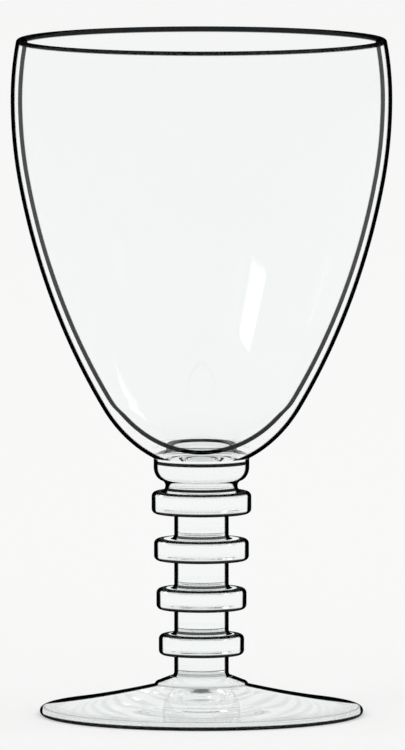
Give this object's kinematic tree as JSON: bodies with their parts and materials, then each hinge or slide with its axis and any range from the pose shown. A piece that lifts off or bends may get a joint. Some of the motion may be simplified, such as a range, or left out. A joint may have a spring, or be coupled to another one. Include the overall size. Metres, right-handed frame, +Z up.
{
  "type": "water goblet",
  "caption": "Clear glass water goblet: a deep egg-shaped bowl on a stem of stacked glass rings over a broad, shallow foot.",
  "frame": {"origin": "centre of the circle that the foot rests on", "axes": "+Z up along the goblet's axis, from the foot to the rim; the goblet is round about Z"},
  "size_m": [0.0928, 0.0928, 0.165],
  "materials": {
    "bowl_glass": "clear, fire-polished",
    "stem_glass": "clear, solid, fire-polished",
    "foot_glass": "clear, fire-polished, with fine wear on the rest ring"
  },
  "bodies": {
    "root": {"bowl": "bowl_glass", "bowl_knop": "stem_glass", "ring_1": "stem_glass", "ring_2": "stem_glass", "ring_3": "stem_glass", "ring_4": "stem_glass", "stem_1": "stem_glass", "stem_2": "stem_glass", "stem_3": "stem_glass", "stem_4": "stem_glass", "foot_wafer": "foot_glass", "foot": "foot_glass"}
  },
  "joints": []
}
